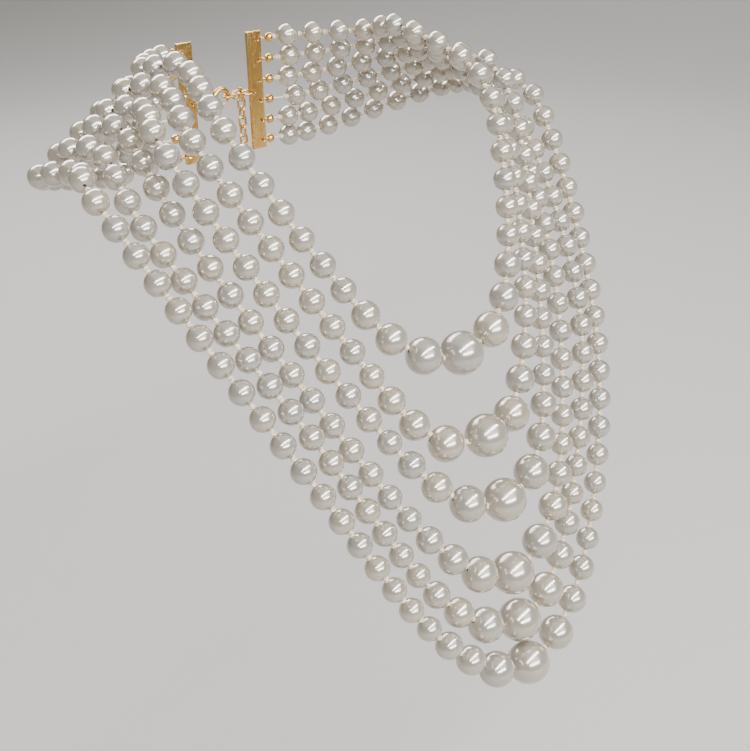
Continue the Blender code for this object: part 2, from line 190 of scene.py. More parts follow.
def goldMaterial():
    mat, shader = newMaterial("goldPlatedBrass", {"Metallic": 1.0})
    place = addNode(mat, "ShaderNodeTexCoord")
    stretch = addNode(mat, "ShaderNodeMapping", {"Scale": goldPlate["stretch"]},
                      {"Vector": place.outputs["Object"]})
    haze = addNode(mat, "ShaderNodeTexNoise",
                   {"Scale": 1 / (goldPlate["scratch"] * mm), "Detail": 4.0, "Roughness": 0.65},
                   {"Vector": stretch.outputs["Vector"]})
    colour = addNode(mat, "ShaderNodeMix",
                     {"data_type": "RGBA", 6: hexColour(goldPlate["bright"]),
                      7: hexColour(goldPlate["worn"])}, {0: haze.outputs["Fac"]})
    gloss = addNode(mat, "ShaderNodeMapRange",
                    {"From Min": 0.3, "From Max": 0.75,
                     "To Min": goldPlate["roughness"] - goldPlate["glossier"],
                     "To Max": goldPlate["roughness"] + goldPlate["duller"]},
                    {"Value": haze.outputs["Fac"]})
    bump = addNode(mat, "ShaderNodeBump",
                   {"Strength": goldPlate["scratchStrength"],
                    "Distance": goldPlate["scratchDepth"] * mm},
                   {"Height": haze.outputs["Fac"]})
    links = mat.node_tree.links
    links.new(colour.outputs[2], shader.inputs["Base Color"])
    links.new(gloss.outputs["Result"], shader.inputs["Roughness"])
    links.new(bump.outputs["Normal"], shader.inputs["Normal"])
    return mat


# Hard-drawn stainless wire and pin: grey metal, its gloss broken by the marks of the die.
steel = {"colour": "B9BBBE", "marks": 0.3, "glossiest": 0.2, "dullest": 0.42}  # marks in mm


def steelMaterial():
    mat, shader = newMaterial("drawnSpringSteel",
                              {"Metallic": 1.0, "Base Color": hexColour(steel["colour"])})
    place = addNode(mat, "ShaderNodeTexCoord")
    marks = addNode(mat, "ShaderNodeTexNoise", {"Scale": 1 / (steel["marks"] * mm), "Detail": 3.0},
                    {"Vector": place.outputs["Object"]})
    gloss = addNode(mat, "ShaderNodeMapRange",
                    {"To Min": steel["glossiest"], "To Max": steel["dullest"]},
                    {"Value": marks.outputs["Fac"]})
    mat.node_tree.links.new(gloss.outputs["Result"], shader.inputs["Roughness"])
    return mat


materials = {"pearl": nacreMaterial(), "silk": silkMaterial(), "gold": goldMaterial(),
             "steel": steelMaterial()}
print("materials:", ", ".join(m.name for m in materials.values()))


def finishPiece(name, mesh, material, body, nodes=(), slotName=None, smoothLevels=0, sharp=None):
    piece = bpy.data.objects.new(name, mesh)
    bpy.context.scene.collection.objects.link(piece)
    mesh.materials.clear()
    mesh.materials.append(materials[material])
    mesh.shade_smooth()
    if sharp:
        mesh.set_sharp_from_angle(angle=math.radians(sharp))
    if smoothLevels:
        subsurf = piece.modifiers.new("round", "SUBSURF")
        subsurf.levels = smoothLevels
        subsurf.render_levels = smoothLevels
    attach(piece, body)
    if nodes:
        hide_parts(*nodes)
    return piece


def meshFrom(bm, name):
    mesh = bpy.data.meshes.new(name)
    bm.to_mesh(mesh)
    bm.free()
    return mesh


# A matrix that stands a shape's Z along direction, at place (mm), scaled (mm).
def aimed(place, direction, size=1.0, roll=0.0):
    turn = Vector((0, 0, 1)).rotation_difference(Vector(direction)).to_matrix().to_4x4()
    return (Matrix.Translation(Vector(place) * mm) @ turn @ Matrix.Rotation(roll, 4, "Z")
            @ Matrix.Scale(size * mm, 4))


# Adds a copy of mesh to bm and returns its new vertices.
def addShape(bm, mesh, matrix):
    before = len(bm.verts)
    bm.from_mesh(mesh)
    bm.verts.ensure_lookup_table()
    fresh = bm.verts[before:]
    bmesh.ops.transform(bm, matrix=matrix, verts=fresh)
    return fresh


# Turns an outline of (radius, height) about Z; a closed outline gives a closed shape.
def spun(profile, steps, angle=2 * math.pi, closed=True):
    bm = bmesh.new()
    verts = [bm.verts.new((radius, 0, height)) for radius, height in profile]
    pairs = list(zip(verts, verts[1:])) + ([(verts[-1], verts[0])] if closed else [])
    edges = [bm.edges.new(pair) for pair in pairs]
    whole = abs(angle - 2 * math.pi) < 1e-6
    bmesh.ops.spin(bm, geom=verts + edges, cent=(0, 0, 0), axis=(0, 0, 1), dvec=(0, 0, 0),
                   angle=angle, steps=steps, use_merge=whole)
    bmesh.ops.remove_doubles(bm, verts=bm.verts, dist=1e-6)
    if not whole:
        bmesh.ops.holes_fill(bm, edges=[e for e in bm.edges if e.is_boundary], sides=0)
    bmesh.ops.recalc_face_normals(bm, faces=bm.faces)
    return bm


def unit(v):
    return v / np.linalg.norm(v)


# The same routes and stringing rule as the CAD, in mm.
strands = {
    "frontRoutes": (
        ((0, -76, -75), (23, -71, -66), (42, -52, -34), (52, -29, -4)),
        ((0, -88, -100), (20, -82, -95), (40, -64, -60), (59, -28, -11)),
        ((0, -97, -120), (24, -90, -108), (49.5, -61, -62), (69, -24, -9)),
        ((0, -102, -146), (28, -95, -126), (55, -66, -73), (70, -29, -28)),
        ((0, -106, -163), (29, -99, -144), (59.5, -74, -83), (79, -27, -30)),
        ((0, -111, -178), (34, -104, -154), (66, -76, -89), (90, -21, -21)),
    ),
    "innerBack": ((45, 3, 9), (47, 25, 5), (31, 45, 3)),
    "outerBack": ((84, 4, -17), (84, 33, -25), (48, 57, -38)),
    "frontPearls": (11, 13, 16, 11, 20, 22),
    "graduation": (14.5, 12.0, 10.0, 9.0),  # mm, from the middle pearl outwards
    "smallPearl": 8.0,
    "dropPearl": 5.0,
    "knotGap": 1.8,
    "sizeScatter": 0.012,  # real pearls differ by about this share
}
bars = {"y": 53.0, "middleZ": -17.0, "pitch": 7.6, "innerX": 11.9, "width": 6.0, "thick": 1.6,
        "height": 44.0, "strandHoleX": 16.2, "ringHoleX": 13.35, "holeRadius": 0.8, "sink": 0.18,
        "bevel": 0.24}
tips = {
    "hookRadius": 1.35, "length": 3.6, "radius": 1.7, "wire": 0.35, "wall": 0.25,
    "mouthDegrees": 30, "sink": 0.1, "neck": 0.35,
    "strapStart": -50, "strapTurn": 250, "strapEnd": 0.6,  # degrees, and the end's share of wire
    "seam": ((-0.02, -0.14), (0.1, -0.1), (0.1, 0.1), (-0.02, 0.14)),  # past the cup, and up
}
strandCount = len(strands["frontRoutes"])


# A dense Catmull-Rom line through half a strand's points, from the middle outwards.
def smoothLine(points, steps=40):
    pts = [np.array(p, float) for p in points]
    pts = [pts[1] * (-1, 1, 1)] + pts + [2 * pts[-1] - pts[-2]]
    line = []
    for a, b, c, d in zip(pts, pts[1:], pts[2:], pts[3:]):
        for t in np.arange(steps) / steps:
            cubic = 3 * b - a - 3 * c + d
            line.append(0.5 * (2 * b + (c - a) * t + (2 * a - 5 * b + 4 * c - d) * t**2
                               + cubic * t**3))
    return np.array(line + [pts[-2]])


def strandHole(strand):
    z = bars["middleZ"] + bars["pitch"] * ((strandCount - 1) / 2 - strand)
    return np.array((bars["strandHoleX"], bars["y"], z))


def pearlSize(count):
    sizes = strands["graduation"]
    return sizes[count] if count < len(sizes) else strands["smallPearl"]


# Centres of half a strand's pearls, each a knot away from the last.
def placePearls(strand):
    share = strand / (strandCount - 1)
    inner = np.array(strands["innerBack"], float)
    back = inner + (np.array(strands["outerBack"], float) - inner) * share
    line = smoothLine([*strands["frontRoutes"][strand], *back, strandHole(strand)])
    room = tips["hookRadius"] + tips["length"] + strands["smallPearl"] / 2 + strands["knotGap"]
    centres, here = [line[0]], 0
    while True:
        count = len(centres)
        step = (pearlSize(count - 1) + pearlSize(count)) / 2 + strands["knotGap"]
        away = np.linalg.norm(line[here:] - centres[-1], axis=1)
        if away[-1] < step:
            break
        ahead = int(np.argmax(away >= step))
        part = (step - away[ahead - 1]) / (away[ahead] - away[ahead - 1])
        spot = line[here + ahead - 1] + (line[here + ahead] - line[here + ahead - 1]) * part
        if np.linalg.norm(line[-1] - spot) < room:
            break
        centres.append(spot)
        here += ahead
    return centres


def knotSpots(centres, sizes, before, after):
    knots = [before]
    for near, far, sizeNear, sizeFar in zip(centres, centres[1:], sizes, sizes[1:]):
        share = (sizeNear + strands["knotGap"]) / (sizeNear + sizeFar + 2 * strands["knotGap"])
        knots.append(near + (far - near) * share)
    return knots + [after]


# A drilled pearl, scaled to radius 1: a few dozen faces that Subdivision Surface rounds. Its cage
# is a little larger than the pearl, by what the smoothing takes back. All have one size of drill.
pearlShape = {"rows": 6, "steps": 8, "bore": 0.42, "mouth": 0.5,  # bore and mouth radii in mm
              "boreEnd": 0.9, "crispFrom": 70}


def makePearlShape(size):
    mouth = math.asin(pearlShape["mouth"] / (size / 2))
    rowAngle = (math.pi - 2 * mouth) / pearlShape["rows"]
    along = 3 / (2 + math.cos(rowAngle))
    around = along * 3 / (2 + math.cos(2 * math.pi / pearlShape["steps"]))
    angles = [mouth + rowAngle * i for i in range(1, pearlShape["rows"])]
    rim = (around * math.sin(mouth), math.cos(mouth))
    outline = [rim, *((around * math.sin(a), along * math.cos(a)) for a in angles)]
    bore, boreEnd = pearlShape["bore"] / (size / 2), pearlShape["boreEnd"]
    outline += [(rim[0], -rim[1]), (bore, -boreEnd), (bore, boreEnd)]
    return meshFrom(spun(outline, pearlShape["steps"]), "pearlShape")


# An overhand knot of radius about 1: two crossing wraps round the thread.
def makeKnotShape():
    wire = silk["knotWire"]
    bm = bmesh.new()
    section = [(silk["knotRadius"] + wire * math.cos(a), wire * math.sin(a))
               for a in (math.pi / 4, 3 * math.pi / 4, 5 * math.pi / 4, 7 * math.pi / 4)]
    wrap = meshFrom(spun(section, 6), "wrap")
    for way in (1, -1):
        lean = Matrix.Rotation(math.radians(way * silk["knotLean"]), 4, "X")
        matrix = Matrix.Translation((0, 0, way * silk["knotLift"])) @ lean
        addShape(bm, wrap, matrix)
    return meshFrom(bm, "knotShape")


pearlMeshes = {size: makePearlShape(size) for size in
               (*strands["graduation"], strands["smallPearl"], strands["dropPearl"])}
knotMesh = makeKnotShape()


# One piece that holds a run of pearls; spots are (centre, size, direction).
def pearlsPiece(name, spots, body, nodes):
    bm = bmesh.new()
    tone = bm.verts.layers.float.new("pearlTone")
    crease = bm.edges.layers.float.new("crease_edge")
    for centre, size, direction in spots:
        pearlMesh = pearlMeshes[size]
        size *= 1 + dice.uniform(-1, 1) * strands["sizeScatter"]
        tint = dice.random()
        matrix = aimed(centre, direction, size / 2, dice.uniform(0, wholeTurn))
        for vert in addShape(bm, pearlMesh, matrix):
            vert[tone] = tint
    for edge in bm.edges:  # the drilled mouth stays crisp
        if edge.calc_face_angle() > math.radians(pearlShape["crispFrom"]):
            edge[crease] = 1.0
            edge.smooth = False
    return finishPiece(name, meshFrom(bm, name), "pearl", body, nodes, "pearl", 2)


def knotsPiece(name, spots, body, nodes):
    bm = bmesh.new()
    for place, direction in spots:
        addShape(bm, knotMesh, aimed(place, direction, 1.0, dice.uniform(0, wholeTurn)))
    return finishPiece(name, meshFrom(bm, name), "silk", body, nodes, None, 1)


def threadPiece(name, points, body, nodes):
    curve = bpy.data.curves.new(name, "CURVE")
    curve.dimensions = "3D"
    curve.bevel_depth = silk["radius"] * mm
    curve.bevel_resolution = 2
    curve.use_fill_caps = True
    spline = curve.splines.new("POLY")
    spline.points.add(len(points) - 1)
    for point, place in zip(spline.points, points):
        point.co = (*(Vector(place) * mm), 1.0)
    curve.materials.append(materials["silk"])
    piece = bpy.data.objects.new(name, curve)
    bpy.context.scene.collection.objects.link(piece)
    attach(piece, body)
    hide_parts(*nodes)
    return piece


def mirrored(points):
    return [np.array(p) * (-1, 1, 1) for p in points]


def buildStrand(strand):
    number = strand + 1
    centres = placePearls(strand)
    sizes = [pearlSize(i) for i in range(len(centres))]
    last = strands["frontPearls"][strand]
    hinge = (centres[last] + centres[last + 1]) / 2
    pole = centres[0] + np.array((sizes[0] / 2, 0, 0))

    # front: both sides of the middle pearl
    half, halfSizes = centres[1:last + 1], sizes[1:last + 1]
    firstEnd = half[0] - unit(half[0] - centres[0]) * halfSizes[0] / 2
    firstKnot = (pole + firstEnd) / 2
    knots = knotSpots(half, halfSizes, firstKnot, hinge)
    ways = [unit(b - a) for a, b in zip(knots, knots[1:])]
    node = f"strand_{number}_front"
    spots = list(zip(half, halfSizes, ways))
    spots += [(c * (-1, 1, 1), s, w * (-1, 1, 1)) for c, s, w in spots]
    pearlsPiece(f"strand{number}FrontPearls", spots, f"strand_{number}_loop", [node])
    knotWays = [unit(half[0] - pole)] + [unit(b - a) for a, b in zip(half, half[1:])]
    knotPlaces = list(zip(knots[:-1], knotWays))
    hingeWay = unit(centres[last + 1] - centres[last])
    knotPlaces.append((hinge, hingeWay))
    knotPlaces += [(k * (-1, 1, 1), w * (-1, 1, 1)) for k, w in knotPlaces]
    knotsPiece(f"strand{number}FrontKnots", knotPlaces, f"strand_{number}_loop", [node])
    thread = [centres[0], pole, *knots]
    threadPiece(f"strand{number}FrontThread", mirrored(thread)[:0:-1] + thread,
                f"strand_{number}_loop", [node])

    # middle pearl, free to turn on the silk
    pearlsPiece(f"strand{number}MiddlePearl", [(centres[0], sizes[0], (1, 0, 0))],
                f"strand_{number}_middle", [f"strand_{number}_centre_pearl"])

    # back, one piece on each side
    rest = centres[last + 1:]
    hole = strandHole(strand)
    cup = hole + unit(rest[-1] - hole) * (tips["hookRadius"] + tips["length"] / 2 + tips["radius"])
    knots = knotSpots(rest, [strands["smallPearl"]] * len(rest), hinge, cup)
    ways = [unit(b - a) for a, b in zip(knots, knots[1:])]
    for side, label, caption in ((1, "Left", "left"), (-1, "Right", "right")):
        flip = np.array((side, 1, 1))
        node = f"strand_{number}_back_{caption}"
        spots = [(c * flip, strands["smallPearl"], w * flip) for c, w in zip(rest, ways)]
        pearlsPiece(f"strand{number}Back{label}Pearls", spots, "necklace_back", [node])
        places = [(k * flip, w * flip) for k, w in zip(knots[1:], ways[1:] + ways[-1:])]
        nearLast = rest[-1] + unit(cup - rest[-1]) * (strands["smallPearl"] / 2 + silk["lastKnot"])
        places[-1] = (nearLast * flip, unit(cup - rest[-1]) * flip)
        knotsPiece(f"strand{number}Back{label}Knots", places, "necklace_back", [node])
        silkStart = hinge + unit(rest[0] - hinge) * silk["backStart"]
        line = [silkStart, rest[0], *knots[1:-1], rest[-1], cup]
        threadPiece(f"strand{number}Back{label}Thread", [p * flip for p in line], "necklace_back",
                    [node])
        buildBeadTip(strand, side, caption, centres[-1])
    print(f"strand {number}: {2 * len(centres) - 1} pearls")


# A round wire through points (mm) with its own radius (mm) at each of them.
def wireMesh(points, radii, cyclic=False, fineness=3):
    curve = bpy.data.curves.new("wire", "CURVE")
    curve.dimensions = "3D"
    curve.bevel_depth = mm
    curve.bevel_resolution = fineness
    curve.use_fill_caps = not cyclic
    spline = curve.splines.new("POLY")
    spline.points.add(len(points) - 1)
    for point, place, radius in zip(spline.points, points, radii):
        point.co = (*(Vector(place) * mm), 1.0)
        point.radius = radius
    spline.use_cyclic_u = cyclic
    helper = bpy.data.objects.new("wire", curve)
    bm = bmesh.new()
    bm.from_mesh(helper.to_mesh())
    bpy.data.objects.remove(helper, do_unlink=True)
    bmesh.ops.remove_doubles(bm, verts=bm.verts, dist=1e-7)
    bmesh.ops.recalc_face_normals(bm, faces=bm.faces)
    return meshFrom(bm, "wire")


# Joins mesh with another closed mesh, or cuts it with it.
def combined(mesh, other, operation):
    objects = [bpy.data.objects.new("shape", part) for part in (mesh, other)]
    for obj in objects:
        bpy.context.scene.collection.objects.link(obj)
    boolean = objects[0].modifiers.new("combine", "BOOLEAN")
    boolean.operation = operation
    boolean.solver = "EXACT"
    boolean.object = objects[1]
    graph = bpy.context.evaluated_depsgraph_get()
    result = bpy.data.meshes.new_from_object(objects[0].evaluated_get(graph))
    for obj in objects:
        bpy.data.objects.remove(obj, do_unlink=True)
    return result


def placed(bm, place, axis=(0, 0, 1), roll=0.0):
    bmesh.ops.transform(bm, matrix=aimed(place, axis, 1.0, roll), verts=bm.verts)
    return meshFrom(bm, "shape")


def roundedBox(size, bevel, place, segments=3):
    bm = bmesh.new()
    bmesh.ops.create_cube(bm, size=1.0)
    bmesh.ops.scale(bm, vec=size, verts=bm.verts)
    bmesh.ops.bevel(bm, geom=bm.edges, offset=bevel, segments=segments, profile=0.5,
                    affect="EDGES", material=-1)
    return placed(bm, place)


# A disc across Y with its rims eased.
def roundedDisc(radius, thick, bevel, place, steps=28):
    half = thick / 2
    inset = bevel * 0.3
    outline = [(0, -half), (radius - bevel, -half), (radius - inset, -half + inset),
               (radius, -half + bevel), (radius, half - bevel), (radius - inset, half - inset),
               (radius - bevel, half), (0, half)]
    return placed(spun(outline, steps), place, (0, 1, 0))


# Points on the middle line of a straight-sided link.
def linkPoints(centre, across, along, length, width, count=40):
    centre, across, along = (np.array(v, float) for v in (centre, across, along))
    points = []
    for i in range(count):
        turn = (i + 0.5) * 2 * math.pi / count
        straight = math.copysign((length - width) / 2, math.cos(turn))
        points.append(centre + along * (math.cos(turn) * width / 2 + straight)
                      + across * math.sin(turn) * width / 2)
    return points


links = {
    "length": 4.5, "width": 2.8, "wire": 0.4, "nest": 1.05, "solder": 1.13,
    "ringReach": 1.1, "ringRadius": 3.0, "ringWire": 0.45, "jumpGap": 0.09, "jumpGapAt": 2.2,
}
chain = {
    "links": 6, "x": 9.9, "dropLoop": 1.3, "pinWire": 0.32,
    "loopStart": -20, "loopTurn": 320,  # degrees of the pin's loop
    "neck": 0.25, "neckToPearl": 0.7, "foot": 0.35,  # mm
    "wrapWire": 0.16, "wrapRadius": 0.45, "wrapTurn": 720, "wrapStart": 0.3, "wrapRise": 0.022,
    "head": ((0, -0.4), (0.55, -0.4), (0.78, -0.26), (0.8, -0.12), (0.7, 0), (0, 0)),
    "headLift": 0.3,
}
goldPiece = {"material": "gold", "slotName": "gold_plate"}


# A link bent from wire, soldered shut in the middle of one long side.
def linkPiece(name, centre, across, along, body, node):
    points = linkPoints(centre, across, along, links["length"], links["width"])
    radii = [links["wire"]] * len(points)
    seam = len(points) // 4
    radii[seam - 1] = radii[seam] = links["wire"] * links["solder"]
    mesh = wireMesh(points, radii, cyclic=True)
    return finishPiece(name, mesh, body=body, nodes=[node], **goldPiece)


# A jump ring, cut from a coil: its two ends meet at a fine gap.
def ringPiece(name, side, body, node):
    gap = links["jumpGap"] / links["ringRadius"]
    wire = [(links["ringRadius"] + links["ringWire"] * math.cos(a), links["ringWire"] * math.sin(a))
            for a in (math.tau * i / 16 for i in range(16))]
    ring = spun(wire, 72, math.tau - gap)
    centre = (side * (bars["ringHoleX"] - links["ringRadius"]), bars["y"], bars["middleZ"])
    return finishPiece(name, placed(ring, centre, roll=links["jumpGapAt"]), body=body, nodes=[node],
                       sharp=50, **goldPiece)


# A flat bar with eased edges, and a countersunk hole for each strand and for the ring.
def buildBar(side, label):
    middle = (side * (bars["innerX"] + bars["width"] / 2), bars["y"], bars["middleZ"])
    bar = roundedBox((bars["width"], bars["thick"], bars["height"]), bars["bevel"], middle, 4)
    hole, half, sink = bars["holeRadius"], bars["thick"] / 2, bars["sink"]
    outline = [(0, -2), (hole + sink, -2), (hole + sink, -half), (hole, -half + sink),
               (hole, half - sink), (hole + sink, half), (hole + sink, 2), (0, 2)]
    spots = [(bars["strandHoleX"], strandHole(i)[2]) for i in range(strandCount)]
    for x, z in [*spots, (bars["ringHoleX"], bars["middleZ"])]:
        drill = placed(spun(outline, 24), (side * x, bars["y"], z), (0, 1, 0))
        bar = combined(bar, drill, "DIFFERENCE")
    finishPiece(f"endBar{label.title()}", bar, body="necklace_back", nodes=[f"end_bar_{label}"],
                sharp=28, **goldPiece)


# A clamshell cup, shut round the last knot, whose strap hooks through the bar's hole.
def buildBeadTip(strand, side, label, lastPearl):
    flip = np.array((side, 1, 1))
    hole = strandHole(strand)
    away = unit(lastPearl - hole)
    cup = hole + away * (tips["hookRadius"] + tips["length"] / 2 + tips["radius"])
    radius, wall, mouth = tips["radius"], tips["wall"], math.radians(tips["mouthDegrees"])
    angles = [mouth + (math.pi - mouth) * i / 9 for i in range(10)]
    outline = [(radius * math.sin(a), radius * math.cos(a)) for a in angles]
    inner = [((radius - wall) * math.sin(a), (radius - wall) * math.cos(a)) for a in angles]
    bm = bmesh.new()
    shell = meshFrom(spun(outline + inner[::-1], 24), "shell")
    addShape(bm, shell, aimed(cup * flip, away * flip))
    # the rolled seam where the two halves shut
    seam = meshFrom(spun([(radius + proud, height) for proud, height in tips["seam"]], 24), "seam")
    sideways = unit(np.cross(away, (0, 0, 1)))
    addShape(bm, seam, aimed(cup * flip, sideways * flip))
    loop = hole + np.array((tips["hookRadius"] - tips["sink"], 0, 0))
    points = [cup - away * (radius - tips["sink"]), cup - away * (radius + tips["neck"])]
    for i in range(22):
        turn = math.radians(tips["strapStart"] + tips["strapTurn"] * i / 21)
        points.append(loop + np.array((math.cos(turn), math.sin(turn), 0)) * tips["hookRadius"])
    radii = [tips["wire"]] * (len(points) - 1) + [tips["wire"] * tips["strapEnd"]]
    strap = wireMesh([point * flip for point in points], radii)
    addShape(bm, strap, Matrix.Identity(4))
    name = f"beadTip{label.title()}{strand + 1}"
    finishPiece(name, meshFrom(bm, name), body="necklace_back",
                nodes=[f"bead_tip_{label}_{strand + 1}"], sharp=50, **goldPiece)


clasp = {
    "hookX": -0.6, "hookRadius": 3.0,
    "tailX": -7.6, "tailRadius": 1.6, "tailWire": 0.5, "neckRadius": 0.6,
    "clawBends": (185, 160, 135, 110, 85, 60, 35, 10, -15, -38),
    "clawRadii": (1.0, 1.05, 1.05, 1.0, 0.95, 0.9, 0.85, 0.75, 0.65, 0.5),
    "cheekRadius": 1.35, "cheekThick": 3.0, "cheekEdge": 0.2,
    "root": (2.3, 3.0, 2.6), "rootEdge": 0.35,
    "slot": (4.6, 1.6, 3.0), "slotEdge": 0.1, "slotAt": (0.9, -0.45),  # x and z from the pin
}
trigger = {
    "thick": 1.0, "bossRadius": 0.95, "edge": 0.12, "armStart": 0.3,
    "leverRadius": 0.44, "leverEnd": 0.9, "leverBends": (-112, -95, -78, -61),
    "thumbTab": (1.1, 0.84, 1.6), "thumbEdge": 0.16, "thumbAt": (0.1, -1.3),
    "grip": (3.0, 2.0, 0.1), "gripEdge": 0.02, "gripX": 1.95, "gripLines": (-1.55, -1.8),
}
pin = {"at": (-3.9, -19.6), "radius": 0.35, "play": 0.12, "sink": 0.1, "domed": 0.03, "edge": 0.12}
spring = {
    "wire": 0.1, "radius": 0.62, "aside": 0.65, "turnsFrom": -60, "turnsBy": 15, "steps": 24,
    "legs": ((0.75, -1.0), (-0.3, 0.85)),  # x and z from the pin
}


def hookPoint(degrees):
    turn = math.radians(degrees)
    return np.array((clasp["hookX"] + clasp["hookRadius"] * math.cos(turn), bars["y"],
                     bars["middleZ"] + clasp["hookRadius"] * math.sin(turn)))


# Rounds a coarse wire line by a Catmull-Rom curve.
def denser(points, radii, steps=6):
    rows = np.column_stack((np.array(points, float), radii))
    rows = [2 * rows[0] - rows[1], *rows, 2 * rows[-1] - rows[-2]]
    fine = []
    for a, b, c, d in zip(rows, rows[1:], rows[2:], rows[3:]):
        for t in np.arange(steps) / steps:
            fine.append(0.5 * (2 * b + (c - a) * t + (2 * a - 5 * b + 4 * c - d) * t**2
                               + (3 * b - a - 3 * c + d) * t**3))
    fine.append(rows[-2])
    return [row[:3] for row in fine], [row[3] for row in fine]


# A cast lobster clasp: claw, tail eye, and a sprung trigger on a riveted pin.
def buildClasp():
    y, z = bars["y"], bars["middleZ"]
    pinX, pinZ = pin["at"]
    middle = (pinX, y, pinZ)
    bore = pin["radius"] + pin["play"]
    across = (0, 1, 0)
    start = np.array((clasp["tailX"] + clasp["tailRadius"], y, z))
    claw = wireMesh(*denser([start, *(hookPoint(bend) for bend in clasp["clawBends"])],
                            [clasp["neckRadius"], *clasp["clawRadii"]]), fineness=4)
    eyeWire = [(clasp["tailRadius"] + clasp["tailWire"] * math.cos(a),
                clasp["tailWire"] * math.sin(a)) for a in (math.tau * i / 14 for i in range(14))]
    tailEye = placed(spun(eyeWire, 36), (clasp["tailX"], y, z), across)
    cheeks = roundedDisc(clasp["cheekRadius"], clasp["cheekThick"], clasp["cheekEdge"], middle)
    root = roundedBox(clasp["root"], clasp["rootEdge"], (pinX, y, pinZ + clasp["root"][2] / 2))
    slotX, slotZ = clasp["slotAt"]
    slot = roundedBox(clasp["slot"], clasp["slotEdge"], (pinX + slotX, y, pinZ + slotZ))
    for shape, operation in ((tailEye, "UNION"), (cheeks, "UNION"), (root, "UNION"),
                             (slot, "DIFFERENCE")):
        claw = combined(claw, shape, operation)
    claw = combined(claw, roundedDisc(bore, 8.0, 0.01, middle, 20), "DIFFERENCE")
    finishPiece("claspClaw", claw, body="clasp", nodes=["clasp_body"], sharp=35, **goldPiece)

    boss = roundedDisc(trigger["bossRadius"], trigger["thick"], trigger["edge"], middle)
    arm = [(pinX + trigger["armStart"], y, pinZ),
           *(hookPoint(bend) for bend in trigger["leverBends"])]
    thick = trigger["leverRadius"]
    lever = wireMesh(*denser(arm, [thick] * 4 + [thick * trigger["leverEnd"]]))
    thumbX, thumbZ = trigger["thumbAt"]
    thumb = roundedBox(trigger["thumbTab"], trigger["thumbEdge"], (pinX + thumbX, y, pinZ + thumbZ))
    boss = combined(combined(boss, lever, "UNION"), thumb, "UNION")
    for groove in trigger["gripLines"]:  # for a fingernail
        cutter = roundedBox(trigger["grip"], trigger["gripEdge"],
                            (pinX + trigger["gripX"], y, pinZ + groove), 1)
        boss = combined(boss, cutter, "DIFFERENCE")
    boss = combined(boss, roundedDisc(bore, 4.0, 0.01, middle, 20), "DIFFERENCE")
    finishPiece("claspTrigger", boss, body="trigger", nodes=["clasp_trigger"], sharp=35,
                **goldPiece)

    half, radius = clasp["cheekThick"] / 2 - pin["sink"], pin["radius"]
    domed, edge = half - pin["domed"], half - pin["edge"]
    outline = [(0, -half), (radius * 0.6, -domed), (radius, -edge), (radius, edge),
               (radius * 0.6, domed), (0, half)]
    finishPiece("claspPin", placed(spun(outline, 24), middle, across), "steel", "clasp",
                ["clasp_pin"], "spring_steel", sharp=40)

    # the spring lies between a cheek and the trigger's boss, with one leg along each
    turns = [math.radians(spring["turnsFrom"] + spring["turnsBy"] * i)
             for i in range(spring["steps"])]
    coil = [(spring["radius"] * math.cos(a), spring["radius"] * math.sin(a)) for a in turns]
    legs = spring["legs"]
    wire = [(pinX + x, y + spring["aside"], pinZ + up) for x, up in (legs[0], *coil, legs[1])]
    finishPiece("claspSpring", wireMesh(wire, [spring["wire"]] * len(wire)), "steel", "clasp", (),
                "spring_steel")


def buildLinks():
    y, z = bars["y"], bars["middleZ"]
    ringPiece("claspRing", -1, "clasp", "clasp_ring")
    ringPiece("extenderRing", 1, "necklace_back", "extender_ring")
    step = links["length"] - links["nest"]
    firstX = bars["ringHoleX"] - 2 * links["ringRadius"] + links["ringReach"] - links["length"] / 2
    for number, across in ((1, (0, 0, 1)), (2, (0, 1, 0))):
        centre = (firstX - step * (number - 1), y, z)
        linkPiece(f"catchLink{number}", centre, across, (1, 0, 0), "necklace_back",
                  f"catch_link_{number}")
    ringX = bars["ringHoleX"] - links["ringRadius"]
    hangY = y + math.sqrt(links["ringRadius"] ** 2 - (chain["x"] - ringX) ** 2)
    top = z + links["ringReach"]
    for i in range(chain["links"]):
        across = (1, 0, 0) if i % 2 else (0, 1, 0)
        linkPiece(f"extenderLink{i + 1}", (chain["x"], hangY, top - links["length"] / 2), across,
                  (0, 0, 1), f"chain_link_{i + 1}", f"extender_link_{i + 1}")
        top -= step
    buildDrop(hangY, top)


